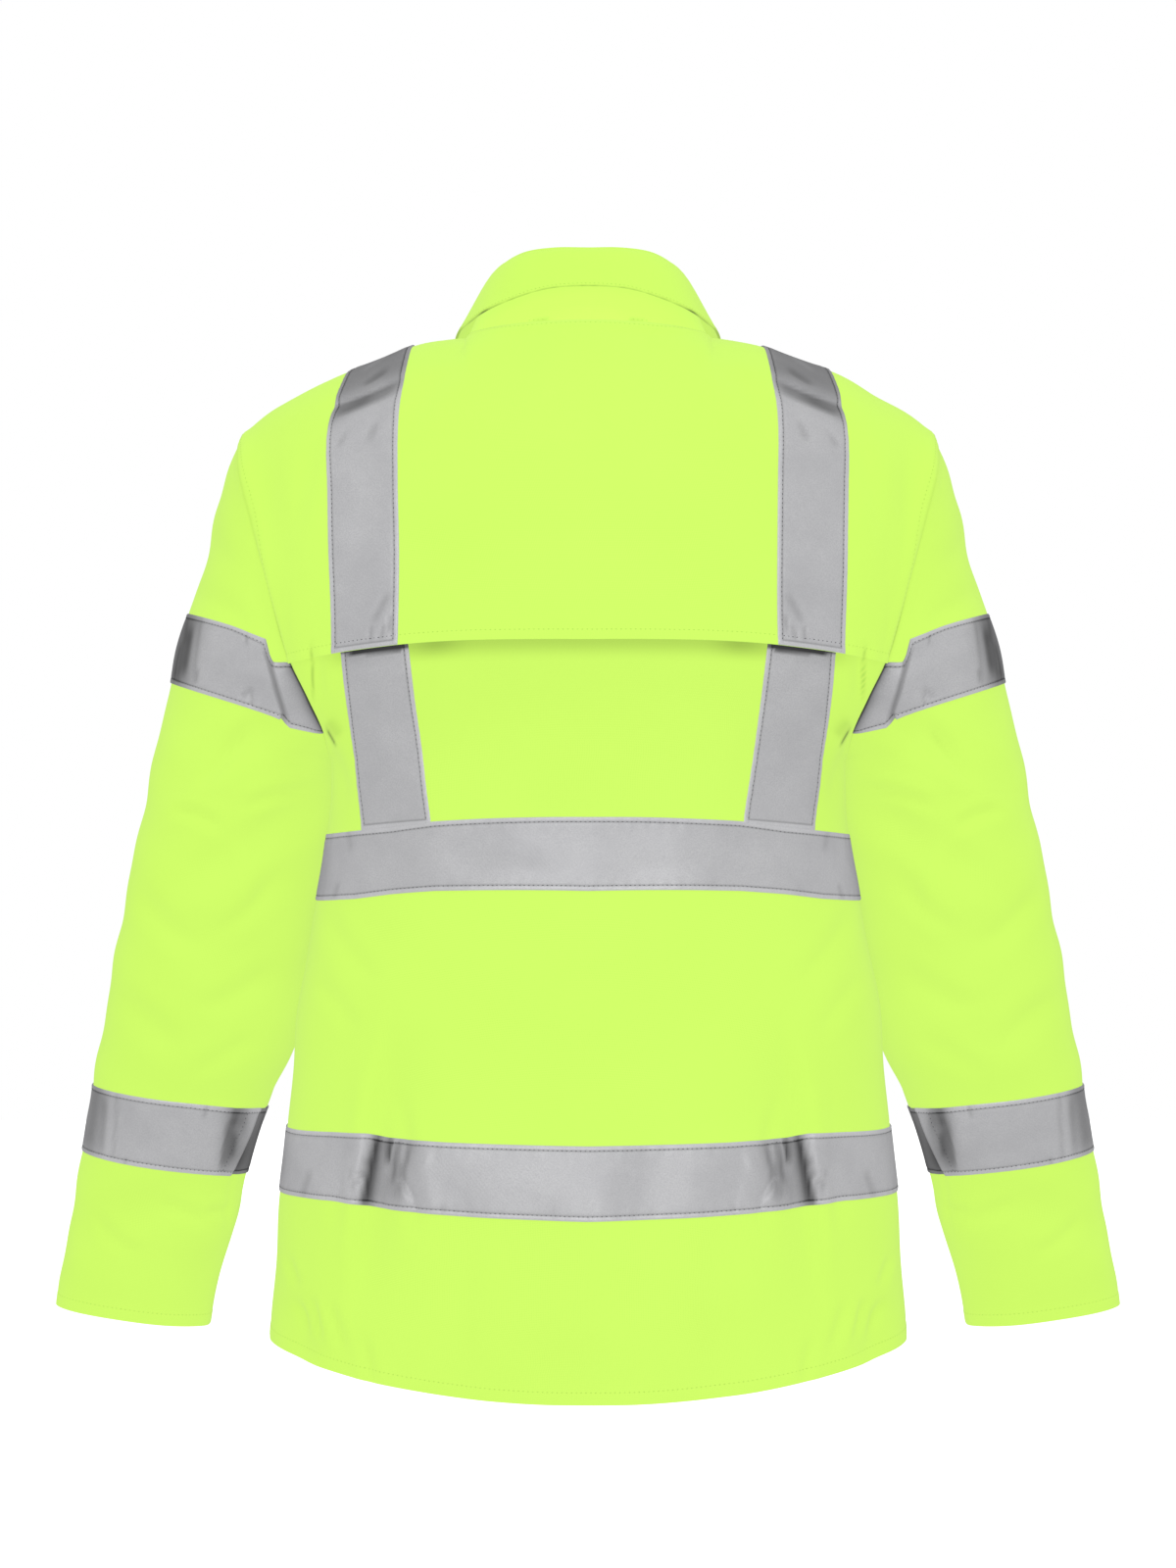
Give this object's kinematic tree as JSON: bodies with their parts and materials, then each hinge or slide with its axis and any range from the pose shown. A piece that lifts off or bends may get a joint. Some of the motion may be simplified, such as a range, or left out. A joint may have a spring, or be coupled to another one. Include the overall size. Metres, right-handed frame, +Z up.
{
  "type": "hi-vis work jacket",
  "caption": "Worn, hollow hi-vis work jacket with a turned-down collar, a vented cape back, a front zip and reflective bands over body, shoulders and sleeves.",
  "frame": {"origin": "where the wearer's shoulders hold the jacket: the middle of the neck opening, level with the two shoulder ends of the neck seam", "axes": "+Z up out of the collar, -Y out of the zipped front, +Y out of the back, +X towards the wearer's left"},
  "size_m": [0.815, 0.2866, 0.83],
  "materials": {
    "shell_cloth": "matt fluorescent yellow-green woven polyester",
    "collar_cloth": "matt fluorescent yellow-green woven polyester, two layers",
    "reflective_tape": "silver-grey glass-bead reflective tape",
    "zip_tape": "yellow-green woven zip tape with a moulded chain",
    "zip_metal": "dark satin metal"
  },
  "bodies": {
    "jacket": {"back_panel": "shell_cloth", "back_cape": "shell_cloth", "front_left": "shell_cloth", "front_right": "shell_cloth", "sleeve_left": "shell_cloth", "sleeve_right": "shell_cloth", "collar_stand": "collar_cloth", "collar_fall": "collar_cloth", "cape_tape_left": "reflective_tape", "cape_tape_right": "reflective_tape", "back_tape_left": "reflective_tape", "back_tape_right": "reflective_tape", "front_tape_left": "reflective_tape", "front_tape_right": "reflective_tape", "waist_tape_back": "reflective_tape", "waist_tape_front_left": "reflective_tape", "waist_tape_front_right": "reflective_tape", "hem_tape_back": "reflective_tape", "hem_tape_front_left": "reflective_tape", "hem_tape_front_right": "reflective_tape", "upper_sleeve_tape_left": "reflective_tape", "upper_sleeve_tape_right": "reflective_tape", "forearm_tape_left": "reflective_tape", "forearm_tape_right": "reflective_tape", "zip_left": "zip_tape", "zip_right": "zip_tape", "zip_slider": "zip_metal"},
    "pull": {"zip_pull": "zip_metal"}
  },
  "joints": [
    {"name": "zip_pull_hinge", "type": "hinge", "parent": "jacket", "child": "pull", "pos_m": [0, -0.08952, -0.08222], "axis": [-1, 0, 0], "range_deg": [0, 150]}
  ]
}
